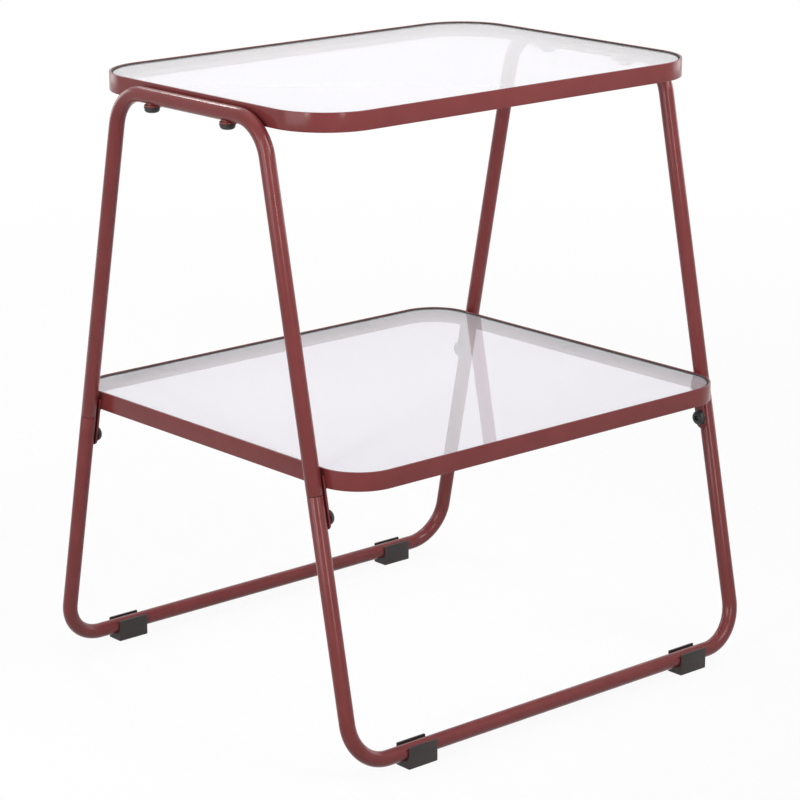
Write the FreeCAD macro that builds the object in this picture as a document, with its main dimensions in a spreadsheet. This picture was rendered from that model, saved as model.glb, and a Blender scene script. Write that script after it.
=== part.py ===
import FreeCAD, Part
import os
import Sketcher

# Driving sizes of the table, in millimetres
SIZES = {
    # Overall shape of the bent tube frame
    "table_height": 525.2,
    "leg_span": 441.0,
    "base_span": 390.7,
    "top_span": 184.0,
    "tube_diameter": 13.0,
    "tube_wall": 1.5,
    "bend_radius": 36.0,
    # Plug joint in each leg
    "seam_drop": 5.3,
    "seam_gap": 0.4,
    "sleeve_wall": 1.6,
    "sleeve_play": 0.1,
    "sleeve_up": 26.0,
    "sleeve_down": 32.0,
    # Flat-bar rims of the two trays
    "rim_height": 15.5,
    "rim_wall": 2.0,
    "top_depth": 302.8,
    "top_corner": 52.0,
    "shelf_height": 248.9,
    "shelf_overhang": 38.0,
    "shelf_corner": 38.0,
    # Glass panes and what they lie on
    "glass_thickness": 5.0,
    "glass_lip": 1.3,
    "glass_gap": 1.0,
    "glass_arris": 0.6,
    "tab_length": 18.0,
    "tab_reach": 11.0,
    "tab_thickness": 2.0,
    "bumper_diameter": 8.0,
    "bumper_height": 1.0,
    # Welded lugs
    "lug_thickness": 1.9,
    "top_lug_width": 13.0,
    "top_lug_land": 3.0,
    "shelf_lug_width": 10.0,
    "shelf_lug_lap": 9.5,
    "shelf_lug_tail": 4.6,
    # Bolts, washers and rivet nuts
    "top_bolt_inset": 13.6,
    "shelf_bolt_drop": 23.8,
    "bolt_diameter": 6.0,
    "bolt_length": 10.0,
    "bolt_play": 0.25,
    "thread_play": 0.05,
    "head_diameter": 12.6,
    "head_edge": 0.9,
    "head_height": 3.7,
    "head_flat": 6.2,
    "socket_flats": 4.0,
    "socket_depth": 2.2,
    "washer_diameter": 13.4,
    "washer_thickness": 0.8,
    "nut_diameter": 8.4,
    "nut_length": 8.5,
    # Clip-on feet
    "foot_length": 30.3,
    "foot_inset_left": 15.8,
    "foot_inset_right": 9.3,
    "foot_wall": 1.7,
    "foot_sole": 6.2,
    "foot_rise": 6.0,
    "foot_round": 1.0,
    "foot_play": 0.05,
    # Extra length of every cut
    "overrun": 2.0,
}

# Places of the glass tabs along a tray's half length and half depth
LONG_SIDE_SHARES = (-0.55, 0.55)
SHORT_SIDE_SHARES = (0.0,)

# Sides of the table: left and right along X, front and back along Y
SIDES = {"left": -1, "right": 1}
ENDS = {"front": -1, "back": 1}

# Sizes that follow from the driving ones, as sheet expressions
TUBE_R = "(Dims.tube_diameter / 2)"
BORE_R = f"({TUBE_R} - Dims.tube_wall)"
LEG_X = "(Dims.leg_span / 2)"
BASE_Y = "(Dims.base_span / 2)"
TOP_Y = "(Dims.top_span / 2)"
BASE_Z = f"(Dims.foot_sole + {TUBE_R})"
TOP_RIM_Z = "(Dims.table_height - Dims.rim_height)"
RUN_Z = f"({TOP_RIM_Z} + {TUBE_R})"
LEAN = f"atan(({BASE_Y} - {TOP_Y}) / ({RUN_Z} - {BASE_Z}))"
SHELF_RIM_Z = "(Dims.shelf_height - Dims.rim_height)"
SEAM_Z = f"({SHELF_RIM_Z} - Dims.seam_drop)"
SHELF_BOLT_Z = f"({SHELF_RIM_Z} - Dims.shelf_bolt_drop)"
TOP_BEND = f"(Dims.bend_radius * tan((90 deg - {LEAN}) / 2))"
TOP_BOLT_Y = f"({TOP_Y} - {TOP_BEND} - Dims.top_bolt_inset)"
TOP_HALF_X = f"({LEG_X} - {TUBE_R})"
TOP_HALF_Y = "(Dims.top_depth / 2)"
SHELF_HALF_X = f"({TOP_HALF_X} - Dims.lug_thickness)"
BOLT_R = "(Dims.bolt_diameter / 2)"
BOLT_HOLE_R = f"({BOLT_R} + Dims.bolt_play)"
THREAD_R = f"({BOLT_R} + Dims.thread_play)"
NUT_R = "(Dims.nut_diameter / 2)"
NUT_HOLE_R = f"({NUT_R} + Dims.thread_play)"
SLEEVE_R = f"({BORE_R} - Dims.sleeve_play)"
TOP_LUG_HALF = "(Dims.top_lug_width / 2)"
SHELF_LUG_HALF = "(Dims.shelf_lug_width / 2)"


def along_leg(height):
    """Distance up a leg from the base run to a height above the floor."""
    return f"(({height} - {BASE_Z}) / cos({LEAN}))"


def leg_y(height):
    """Distance of a leg's axis from the middle of the table at a height."""
    return f"({BASE_Y} - ({height} - {BASE_Z}) * tan({LEAN}))"


SHELF_HALF_Y = f"({leg_y(SHELF_RIM_Z)} + Dims.shelf_overhang)"

doc = FreeCAD.newDocument("EndTable")
sheet = doc.addObject("Spreadsheet::Sheet", "Dims")
for row, (alias, size) in enumerate(SIZES.items(), start=1):
    sheet.set(f"A{row}", alias)
    sheet.set(f"B{row}", str(size))
    sheet.setAlias(f"B{row}", alias)
doc.recompute()

nodes = []


def number(expression):
    """Value of a sheet expression as a plain number."""
    result = sheet.evalExpression(expression)
    return float(getattr(result, "Value", result))


def bind(target, **expressions):
    """Tie properties of an object to sheet expressions."""
    for name, expression in expressions.items():
        target.setExpression(name, expression)


def place(target, x, y, z, axis=None, turn=None):
    """Put a piece at x, y, z, turned about one axis."""
    if axis is not None:
        rotation = FreeCAD.Rotation(axis, number(turn))
        target.Placement = FreeCAD.Placement(FreeCAD.Vector(), rotation)
        target.setExpression("Placement.Rotation.Angle", turn)
    for letter, expression in zip("xyz", (x, y, z)):
        target.setExpression(f"Placement.Base.{letter}", expression)


def new_body(label):
    """Empty body for one piece of the table."""
    body = doc.addObject("PartDesign::Body", label)
    body.Label = label
    nodes.append(body)
    return body


def origin_plane(body, role):
    """One of the body's own origin planes."""
    return next(item for item in body.Origin.OriginFeatures if item.Role == role)


def new_sketch(body, role, name, level="0"):
    """Sketch on an origin plane, lifted off it by a level."""
    sketch = body.newObject("Sketcher::SketchObject", name)
    sketch.AttachmentSupport = [(origin_plane(body, role), "")]
    sketch.MapMode = "FlatFace"
    sketch.setExpression("AttachmentOffset.Base.z", level)
    return sketch


def pin(sketch, index, end, across, up):
    """Hold a point of the sketch at a place given by two expressions."""
    for kind, expression in (("DistanceX", across), ("DistanceY", up)):
        held = sketch.addConstraint(Sketcher.Constraint(kind, -1, 1, index, end, number(expression)))
        sketch.setExpression(f"Constraints[{held}]", expression)


def circle(sketch, across, up, radius):
    """Circle with a held centre and radius."""
    centre = FreeCAD.Vector(number(across), number(up), 0)
    index = sketch.addGeometry(Part.Circle(centre, FreeCAD.Vector(0, 0, 1), number(radius)), False)
    pin(sketch, index, 3, across, up)
    held = sketch.addConstraint(Sketcher.Constraint("Radius", index, number(radius)))
    sketch.setExpression(f"Constraints[{held}]", radius)


def join_arc(sketch, first, second):
    """Arc from the end of one line to the start of another, tangent to the first."""
    line = sketch.Geometry[first]
    start = line.EndPoint
    finish = sketch.Geometry[second].StartPoint
    along = (line.EndPoint - line.StartPoint).normalize()
    left = FreeCAD.Vector(-along.y, along.x, 0)
    chord = finish - start
    radius = chord.dot(chord) / (2 * chord.dot(left))
    centre = start + left * radius
    round_edge = Part.Circle(centre, FreeCAD.Vector(0, 0, 1), abs(radius))
    ends = (start, finish) if radius > 0 else (finish, start)
    angles = [round_edge.parameter(point) for point in ends]
    arc = sketch.addGeometry(Part.ArcOfCircle(round_edge, angles[0], angles[1]), False)
    near, far = (1, 2) if radius > 0 else (2, 1)
    sketch.addConstraint(Sketcher.Constraint("Tangent", first, 2, arc, near))
    sketch.addConstraint(Sketcher.Constraint("Coincident", arc, far, second, 1))


def chain(sketch, lines, closed=True):
    """Straight lines with held ends, joined by arcs where their ends lie apart."""
    indices = []
    for x0, y0, x1, y1 in lines:
        ends = (FreeCAD.Vector(number(x0), number(y0), 0), FreeCAD.Vector(number(x1), number(y1), 0))
        indices.append(sketch.addGeometry(Part.LineSegment(*ends), False))
        pin(sketch, indices[-1], 1, x0, y0)
        pin(sketch, indices[-1], 2, x1, y1)
    followers = indices[1:] + (indices[:1] if closed else [])
    targets = lines[1:] + (lines[:1] if closed else [])
    for index, line, follower, target in zip(indices, lines, followers, targets):
        if line[2:] != target[:2]:
            join_arc(sketch, index, follower)


def rounded_rectangle(sketch, half_x, half_y, corner):
    """Rectangle about the origin with round corners."""
    flat_x = f"({half_x} - {corner})"
    flat_y = f"({half_y} - {corner})"
    chain(sketch, [
        (f"-{flat_x}", f"-{half_y}", flat_x, f"-{half_y}"),
        (half_x, f"-{flat_y}", half_x, flat_y),
        (flat_x, half_y, f"-{flat_x}", half_y),
        (f"-{half_x}", flat_y, f"-{half_x}", f"-{flat_y}"),
    ])


def pad(body, sketch, length, centred=False):
    """Solid of a sketch, raised by a length or spread evenly about its plane."""
    solid = body.newObject("PartDesign::Pad", "Pad")
    solid.Profile = sketch
    solid.Midplane = centred
    bind(solid, Length=length)
    return solid


def cut(body, sketch, depth, centred=False, reverse=False):
    """Opening of a sketch's outline, checked to take material away."""
    doc.recompute()
    before = body.Shape.Volume
    opening = body.newObject("PartDesign::Pocket", "Cut")
    opening.Profile = sketch
    opening.Midplane = centred
    opening.Reversed = reverse
    bind(opening, Length=depth)
    doc.recompute()
    if body.Shape.Volume >= before:
        raise RuntimeError(f"{body.Label}: a cut took nothing away")


def bent_tube(label, level, run_end, leg_start, leg_end):
    """Hollow tube: a level run, two bends and two legs, made as one half and its mirror image."""
    body = new_body(label)
    path = new_sketch(body, "XZ_Plane", "Path")
    chain(path, [("0", level, *run_end), (*leg_start, *leg_end)], closed=False)
    section = new_sketch(body, "YZ_Plane", "Section")
    circle(section, "0", level, TUBE_R)
    circle(section, "0", level, BORE_R)
    doc.recompute()
    half = body.newObject("PartDesign::AdditivePipe", "Half")
    half.Profile = section
    half.Spine = (path, [f"Edge{index}" for index in range(1, 1 + len(path.Geometry))])
    doc.recompute()
    whole = body.newObject("PartDesign::Mirrored", "Whole")
    whole.Originals = [half]
    whole.MirrorPlane = (origin_plane(body, "YZ_Plane"), [""])
    body.Tip = whole
    doc.recompute()
    return body


def upper_frame(side, sign):
    """Inverted U of tube: the upper halves of one side's legs and the run beside the top tray."""
    drop = f"({RUN_Z} - {SEAM_Z} - Dims.seam_gap / 2)"
    body = bent_tube(
        f"upper_frame_{side}",
        RUN_Z,
        (f"({TOP_Y} - {TOP_BEND})", RUN_Z),
        (f"({TOP_Y} + {TOP_BEND} * sin({LEAN}))", f"({RUN_Z} - {TOP_BEND} * cos({LEAN}))"),
        (f"({TOP_Y} + {drop} * tan({LEAN}))", f"({RUN_Z} - {drop})"),
    )
    holes = new_sketch(body, "XY_Plane", "NutHoles", RUN_Z)
    for place_y in (f"-{TOP_BOLT_Y}", TOP_BOLT_Y):
        circle(holes, place_y, "0", NUT_HOLE_R)
    cut(body, holes, f"({TUBE_R} + Dims.overrun)")
    place(body, f"{sign} * {LEG_X}", "0", "0", FreeCAD.Vector(0, 0, 1), "90")


def base_frame(end, sign):
    """U of tube that leans inwards: the base run and the lower halves of two legs."""
    body = bent_tube(
        f"base_frame_{end}",
        "0",
        (f"({LEG_X} - Dims.bend_radius)", "0"),
        (LEG_X, "Dims.bend_radius"),
        (LEG_X, along_leg(f"({SEAM_Z} - Dims.seam_gap / 2)")),
    )
    holes = new_sketch(body, "YZ_Plane", "BoltHoles")
    circle(holes, "0", along_leg(SHELF_BOLT_Z), BOLT_HOLE_R)
    cut(body, holes, f"(2 * {LEG_X})", centred=True)
    place(body, "0", f"{sign} * {BASE_Y}", BASE_Z, FreeCAD.Vector(1, 0, 0), f"{sign} * {LEAN}")


def joint_sleeve(end, end_sign, side, side_sign):
    """Inner sleeve that carries a leg's plug joint, threaded for the shelf bolt."""
    body = new_body(f"joint_sleeve_{end}_{side}")
    bottom = f"({along_leg(SEAM_Z)} - Dims.sleeve_down)"
    section = new_sketch(body, "XY_Plane", "Section", bottom)
    circle(section, "0", "0", SLEEVE_R)
    circle(section, "0", "0", f"({SLEEVE_R} - Dims.sleeve_wall)")
    pad(body, section, "Dims.sleeve_down + Dims.sleeve_up")
    thread = new_sketch(body, "YZ_Plane", "Thread")
    circle(thread, "0", along_leg(SHELF_BOLT_Z), THREAD_R)
    cut(body, thread, f"({SLEEVE_R} + Dims.overrun)", reverse=side_sign < 0)
    turn = f"{end_sign} * {LEAN}"
    place(body, f"{side_sign} * {LEG_X}", f"{end_sign} * {BASE_Y}", BASE_Z, FreeCAD.Vector(1, 0, 0), turn)


def tray_rim(label, half_x, half_y, corner, bottom):
    """Flat bar bent on edge into a rounded rectangle."""
    body = new_body(label)
    outline = new_sketch(body, "XY_Plane", "Outline")
    rounded_rectangle(outline, half_x, half_y, corner)
    inner = [f"({size} - Dims.rim_wall)" for size in (half_x, half_y, corner)]
    rounded_rectangle(outline, *inner)
    pad(body, outline, "Dims.rim_height")
    place(body, "0", "0", bottom)


def glass_pane(label, half_x, half_y, corner, bottom):
    """Glass pane that drops into a rim, with its sharp edges ground off."""
    body = new_body(label)
    outline = new_sketch(body, "XY_Plane", "Outline")
    inset = "(Dims.rim_wall + Dims.glass_gap)"
    rounded_rectangle(outline, *(f"({size} - {inset})" for size in (half_x, half_y, corner)))
    slab = pad(body, outline, "Dims.glass_thickness")
    doc.recompute()
    flat = [
        f"Face{index}"
        for index, face in enumerate(slab.Shape.Faces, start=1)
        if abs(face.normalAt(0, 0).z) > 0.5
    ]
    arris = body.newObject("PartDesign::Chamfer", "Arris")
    arris.Base = (slab, flat)
    bind(arris, Size="Dims.glass_arris")
    place(body, "0", "0", bottom)


def group(label, members):
    """Like pieces that share one node."""
    whole = doc.addObject("Part::Compound", label)
    whole.Label = label
    whole.Links = members
    nodes.append(whole)


def glass_rests(name, half_x, half_y, glass_bottom):
    """Tabs welded inside a rim, each with a clear bumper under the glass."""
    edge_x = f"({half_x} - Dims.rim_wall - Dims.tab_reach / 2)"
    edge_y = f"({half_y} - Dims.rim_wall - Dims.tab_reach / 2)"
    bumper_z = f"({glass_bottom} - Dims.bumper_height)"
    along_x = ("Dims.tab_length", "Dims.tab_reach")
    along_y = ("Dims.tab_reach", "Dims.tab_length")
    spots = []
    for sign in (-1, 1):
        spots += [(f"{share} * {half_x}", f"{sign} * {edge_y}", along_x) for share in LONG_SIDE_SHARES]
        spots += [(f"{sign} * {edge_x}", f"{share} * {half_y}", along_y) for share in SHORT_SIDE_SHARES]
    tabs = []
    bumpers = []
    for x, y, (length, width) in spots:
        tab = doc.addObject("Part::Box", f"{name}_tab")
        bind(tab, Length=length, Width=width, Height="Dims.tab_thickness")
        place(tab, f"{x} - {length} / 2", f"{y} - {width} / 2", f"({bumper_z} - Dims.tab_thickness)")
        tabs.append(tab)
        bumper = doc.addObject("Part::Cylinder", f"{name}_bumper")
        bind(bumper, Radius="Dims.bumper_diameter / 2", Height="Dims.bumper_height")
        place(bumper, x, y, bumper_z)
        bumpers.append(bumper)
    group(f"{name}_glass_tabs", tabs)
    group(f"{name}_glass_bumpers", bumpers)


def top_lug(end, end_sign, side, side_sign):
    """Flat lug welded under the top rim, reaching out below the frame's run."""
    body = new_body(f"top_lug_{end}_{side}")
    outline = new_sketch(body, "XY_Plane", "Outline")
    inner = f"({TOP_HALF_X} - Dims.rim_wall - Dims.top_lug_land)"
    chain(outline, [
        (inner, f"-{TOP_LUG_HALF}", LEG_X, f"-{TOP_LUG_HALF}"),
        (LEG_X, TOP_LUG_HALF, inner, TOP_LUG_HALF),
        (inner, TOP_LUG_HALF, inner, f"-{TOP_LUG_HALF}"),
    ])
    circle(outline, LEG_X, "0", BOLT_HOLE_R)
    pad(body, outline, "Dims.lug_thickness")
    bottom = f"({TOP_RIM_Z} - Dims.lug_thickness)"
    turn = "0" if side_sign > 0 else "180"
    place(body, "0", f"{end_sign} * {TOP_BOLT_Y}", bottom, FreeCAD.Vector(0, 0, 1), turn)


def shelf_lug(end, end_sign, side, side_sign):
    """Flat lug welded to the shelf rim, running down the inner side of a leg."""
    body = new_body(f"shelf_lug_{end}_{side}")
    hole = along_leg(SHELF_BOLT_Z)
    top = along_leg(f"({SHELF_RIM_Z} + Dims.shelf_lug_lap)")
    tail = f"({hole} - Dims.shelf_lug_tail)"
    outline = new_sketch(body, "YZ_Plane", "Outline")
    chain(outline, [
        (f"-{SHELF_LUG_HALF}", top, f"-{SHELF_LUG_HALF}", tail),
        (SHELF_LUG_HALF, tail, SHELF_LUG_HALF, top),
        (SHELF_LUG_HALF, top, f"-{SHELF_LUG_HALF}", top),
    ])
    circle(outline, "0", hole, BOLT_HOLE_R)
    pad(body, outline, "Dims.lug_thickness", centred=True)
    middle = f"{side_sign} * ({SHELF_HALF_X} + Dims.lug_thickness / 2)"
    place(body, middle, f"{end_sign} * {BASE_Y}", BASE_Z, FreeCAD.Vector(1, 0, 0), f"{end_sign} * {LEAN}")


def bolt(label):
    """Domed bolt with a hexagon socket, seated at its origin with its head upwards."""
    body = new_body(label)
    head = "(Dims.head_diameter / 2)"
    flat = "(Dims.head_flat / 2)"
    profile = new_sketch(body, "XZ_Plane", "Profile")
    chain(profile, [
        ("0", "-Dims.bolt_length", BOLT_R, "-Dims.bolt_length"),
        (BOLT_R, "-Dims.bolt_length", BOLT_R, "0"),
        (BOLT_R, "0", head, "0"),
        (head, "0", head, "Dims.head_edge"),
        (flat, "Dims.head_height", "0", "Dims.head_height"),
        ("0", "Dims.head_height", "0", "-Dims.bolt_length"),
    ])
    turned = body.newObject("PartDesign::Revolution", "Turned")
    turned.Profile = profile
    turned.ReferenceAxis = (profile, ["V_Axis"])
    socket = new_sketch(body, "XY_Plane", "Socket", "Dims.head_height")
    reach = "(Dims.socket_flats / sqrt(3))"
    corners = [(f"{reach} * cos({60 * turn} deg)", f"{reach} * sin({60 * turn} deg)") for turn in range(6)]
    chain(socket, [(*corner, *corners[(turn + 1) % 6]) for turn, corner in enumerate(corners)])
    cut(body, socket, "Dims.socket_depth")
    return body


def ring(label, outer, inner, length):
    """Plain ring standing on its origin."""
    body = new_body(label)
    section = new_sketch(body, "XY_Plane", "Section")
    circle(section, "0", "0", outer)
    circle(section, "0", "0", inner)
    pad(body, section, length)
    return body


def top_fastening(end, end_sign, side, side_sign):
    """Bolt, washer and rivet nut that hold a top lug to the frame's run."""
    spot = (f"{side_sign} * {LEG_X}", f"{end_sign} * {TOP_BOLT_Y}")
    washer_z = f"({TOP_RIM_Z} - Dims.lug_thickness - Dims.washer_thickness)"
    place(bolt(f"top_bolt_{end}_{side}"), *spot, washer_z, FreeCAD.Vector(1, 0, 0), "180")
    washer = ring(f"top_washer_{end}_{side}", "Dims.washer_diameter / 2", BOLT_HOLE_R, "Dims.washer_thickness")
    place(washer, *spot, washer_z)
    place(ring(f"rivet_nut_{end}_{side}", NUT_R, THREAD_R, "Dims.nut_length"), *spot, TOP_RIM_Z)


def shelf_fastening(end, end_sign, side, side_sign):
    """Bolt and washer that hold a shelf lug to a leg and lock its plug joint."""
    spot = (f"{end_sign} * {leg_y(SHELF_BOLT_Z)}", SHELF_BOLT_Z)
    seat = f"{side_sign} * ({SHELF_HALF_X} - Dims.washer_thickness)"
    turn = f"{-90 * side_sign}"
    upright = FreeCAD.Vector(0, 1, 0)
    place(bolt(f"shelf_bolt_{end}_{side}"), seat, *spot, upright, turn)
    name = f"shelf_washer_{end}_{side}"
    washer = ring(name, "Dims.washer_diameter / 2", BOLT_HOLE_R, "Dims.washer_thickness")
    place(washer, f"{side_sign} * {SHELF_HALF_X}", *spot, upright, turn)


def foot(end, end_sign, side, side_sign):
    """Plastic clip round the underside of a base run."""
    body = new_body(f"foot_{end}_{side}")
    bore = f"({TUBE_R} + Dims.foot_play)"
    half = f"({bore} + Dims.foot_wall)"
    top = f"({BASE_Z} + Dims.foot_rise)"
    flat = f"({half} - Dims.foot_round)"
    profile = new_sketch(body, "YZ_Plane", "Profile")
    chain(profile, [
        (f"-{flat}", "0", flat, "0"),
        (half, "Dims.foot_round", half, top),
        (half, top, bore, top),
        (bore, top, bore, BASE_Z),
        (f"-{bore}", BASE_Z, f"-{bore}", top),
        (f"-{bore}", top, f"-{half}", top),
        (f"-{half}", top, f"-{half}", "Dims.foot_round"),
    ])
    pad(body, profile, "Dims.foot_length", centred=True)
    middle = f"({LEG_X} - Dims.bend_radius - Dims.foot_inset_{side} - Dims.foot_length / 2)"
    place(body, f"{side_sign} * {middle}", f"{end_sign} * {BASE_Y}", "0")


for side, sign in SIDES.items():
    upper_frame(side, sign)
for end, sign in ENDS.items():
    base_frame(end, sign)

trays = (
    ("top", TOP_HALF_X, TOP_HALF_Y, "Dims.top_corner", TOP_RIM_Z),
    ("shelf", SHELF_HALF_X, SHELF_HALF_Y, "Dims.shelf_corner", SHELF_RIM_Z),
)
for name, half_x, half_y, corner, bottom in trays:
    glass_bottom = f"({bottom} + Dims.rim_height - Dims.glass_lip - Dims.glass_thickness)"
    tray_rim(f"{name}_rim", half_x, half_y, corner, bottom)
    glass_pane(f"{name}_glass", half_x, half_y, corner, glass_bottom)
    glass_rests(name, half_x, half_y, glass_bottom)

for end, end_sign in ENDS.items():
    for side, side_sign in SIDES.items():
        corner = (end, end_sign, side, side_sign)
        joint_sleeve(*corner)
        top_lug(*corner)
        top_fastening(*corner)
        shelf_lug(*corner)
        shelf_fastening(*corner)
        foot(*corner)

doc.recompute()
for item in doc.Objects:
    if "Invalid" in item.State or "Error" in item.State:
        raise RuntimeError(f"{item.Label} failed: {item.State}")
for node in nodes:
    if node.Shape.isNull() or not node.Shape.isValid():
        raise RuntimeError(f"{node.Label} has no valid shape")

os.makedirs("parts", exist_ok=True)
for node in nodes:
    node.Shape.exportStep(f"parts/{node.Label}.step")
    print(node.Label, round(node.Shape.Volume, 1), len(node.Shape.Solids))
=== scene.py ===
import itertools
import logging
import math
from dataclasses import dataclass, field
from enum import Enum
from typing import ClassVar, Iterable, Sequence

import bpy
from mathutils import Matrix, Vector


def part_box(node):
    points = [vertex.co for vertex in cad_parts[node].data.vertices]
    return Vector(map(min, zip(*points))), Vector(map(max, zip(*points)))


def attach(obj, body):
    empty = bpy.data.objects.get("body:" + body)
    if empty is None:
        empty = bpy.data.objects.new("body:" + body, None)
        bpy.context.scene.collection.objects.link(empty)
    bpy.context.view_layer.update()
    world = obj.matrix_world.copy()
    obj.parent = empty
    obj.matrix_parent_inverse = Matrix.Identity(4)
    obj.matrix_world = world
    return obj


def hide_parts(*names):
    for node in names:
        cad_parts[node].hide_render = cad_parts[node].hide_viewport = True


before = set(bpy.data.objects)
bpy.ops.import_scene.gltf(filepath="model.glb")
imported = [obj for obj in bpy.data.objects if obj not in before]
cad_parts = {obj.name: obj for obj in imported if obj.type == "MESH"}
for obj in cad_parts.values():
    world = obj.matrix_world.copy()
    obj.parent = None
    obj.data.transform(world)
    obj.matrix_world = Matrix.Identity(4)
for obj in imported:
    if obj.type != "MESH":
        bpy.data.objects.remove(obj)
log = logging.getLogger("end_table")

# Lines of points with a direction each, and sections as pairs of distances.
# Sizes are in metres here and below.
Loop = list[tuple[Vector, Vector]]
Profile = Sequence[tuple[float, float]]

# Share of the noise's range that a finish is spread over, octaves of its three
# noises, and how much finer its gloss changes than its tint
NOISE_LOW = 0.3
NOISE_HIGH = 0.7
TINT_DETAIL = 3.0
GLOSS_DETAIL = 2.0
RELIEF_DETAIL = 2.0
GLOSS_FINENESS = 4.0

# Angles from which an edge is left sharp
BAR_CREASE = math.radians(50)
TURNED_CREASE = math.radians(40)
BOLT_CREASE = math.radians(35)
PANE_CREASE = math.radians(25)

# Fineness of the meshes
TUBE_SIDES = 40
SECTION_STEPS = 4
EDGE_STEPS = 2

# Where the middle ring of a tube's rounded end stands, as a share of its lip, and
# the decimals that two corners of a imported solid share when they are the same
LIP_SHARE = 0.3
MERGE_DIGITS = 5

# Weld beads: spans and sides of the mesh, length of a ripple in radii, its
# height, how blunt the ends are and how far they close
BEAD_STEPS = 36
BEAD_SIDES = 14
BEAD_PITCH = 1.6
BEAD_RIPPLE = 0.09
BEAD_BLUNTNESS = 6
BEAD_TIP = 0.05


class Side(Enum):
    """Left and right of the table, as signs along X."""

    LEFT = -1
    RIGHT = 1


class End(Enum):
    """Front and back of the table, as signs along Y."""

    FRONT = -1
    BACK = 1


class Body(Enum):
    """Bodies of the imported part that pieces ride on."""

    TABLE = "table"
    TOP_PANE = "top_pane"
    SHELF_PANE = "shelf_pane"


def corner_name(end: End, side: Side) -> str:
    """Name of a corner of the table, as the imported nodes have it."""
    return f"{end.name.lower()}_{side.name.lower()}"


CORNERS = tuple(itertools.product(End, Side))


# Finishes


class NodeKit:
    """A material under construction, with short calls for its nodes and links."""

    def __init__(self, name: str) -> None:
        """Start a node material.

        Args:
            name: Name of the material.
        """
        self.material = bpy.data.materials.new(name)
        self.material.use_nodes = True
        self.tree = self.material.node_tree
        self.shader = self.tree.nodes["Principled BSDF"]
        self.place = self.add("ShaderNodeTexCoord").outputs["Object"]

    def add(self, kind: str, **sockets: float | Sequence[float]) -> bpy.types.ShaderNode:
        """Add one node.

        Args:
            kind: Blender's name of the node type.
            **sockets: Values of its input sockets, with _ for a space.

        Returns:
            The new node.
        """
        node = self.tree.nodes.new(kind)
        for name, value in sockets.items():
            node.inputs[name.replace("_", " ")].default_value = value
        return node

    def link(self, source: bpy.types.NodeSocket, target: bpy.types.NodeSocket) -> None:
        """Join an output to an input."""
        self.tree.links.new(source, target)

    def noise(self, scale: float, detail: float) -> bpy.types.NodeSocket:
        """Noise over the object's own space.

        Args:
            scale: Waves per metre.
            detail: Octaves of finer noise.

        Returns:
            The noise value's socket.
        """
        node = self.add("ShaderNodeTexNoise", Scale=scale, Detail=detail)
        self.link(self.place, node.inputs["Vector"])
        return node.outputs["Fac"]

    def ranged(self, source: bpy.types.NodeSocket, low: float, high: float) -> bpy.types.NodeSocket:
        """Spread a noise value over a range.

        Args:
            source: Socket of a noise value.
            low: Result at the noise's low end.
            high: Result at the noise's high end.

        Returns:
            The ranged value's socket.
        """
        node = self.add(
            "ShaderNodeMapRange", From_Min=NOISE_LOW, From_Max=NOISE_HIGH, To_Min=low, To_Max=high
        )
        self.link(source, node.inputs["Value"])
        return node.outputs["Result"]

    def tinted(
        self, source: bpy.types.NodeSocket, dark: Sequence[float], light: Sequence[float]
    ) -> None:
        """Colour the surface between two tints.

        Args:
            source: Socket of a noise value.
            dark: Colour at the noise's low end.
            light: Colour at the noise's high end.
        """
        ramp = self.add("ShaderNodeValToRGB")
        stops = ramp.color_ramp.elements
        for stop, place, tint in zip(stops, (NOISE_LOW, NOISE_HIGH), (dark, light)):
            stop.position = place
            stop.color = (*tint, 1.0)
        self.link(source, ramp.inputs["Fac"])
        self.link(ramp.outputs["Color"], self.shader.inputs["Base Color"])

    def bumped(self, source: bpy.types.NodeSocket, strength: float, depth: float) -> None:
        """Give the surface a fine relief.

        Args:
            source: Socket of the height.
            strength: Strength of the relief.
            depth: Depth of the relief in metres.
        """
        bump = self.add("ShaderNodeBump", Strength=strength, Distance=depth)
        self.link(source, bump.inputs["Height"])
        self.link(bump.outputs["Normal"], self.shader.inputs["Normal"])


@dataclass(frozen=True)
class Finish:
    """A surface with slight changes of tint and gloss and a fine relief."""

    name: str
    slot: str
    dark: tuple[float, float, float]
    light: tuple[float, float, float]
    gloss: tuple[float, float]
    grain: float
    relief: float
    relief_depth: float
    relief_strength: float = 0.5
    sockets: tuple[tuple[str, float], ...] = ()

    def material(self) -> bpy.types.Material:
        """Build the finish.

        Returns:
            A node material, made once and shared by later calls.
        """
        made = bpy.data.materials.get(self.name)
        if made is not None:
            return made
        kit = NodeKit(self.name)
        for socket, value in self.sockets:
            kit.shader.inputs[socket].default_value = value
        kit.tinted(kit.noise(self.grain, TINT_DETAIL), self.dark, self.light)
        rough = kit.ranged(kit.noise(self.grain * GLOSS_FINENESS, GLOSS_DETAIL), *self.gloss)
        kit.link(rough, kit.shader.inputs["Roughness"])
        kit.bumped(kit.noise(self.relief, RELIEF_DETAIL), self.relief_strength, self.relief_depth)
        return kit.material


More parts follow.
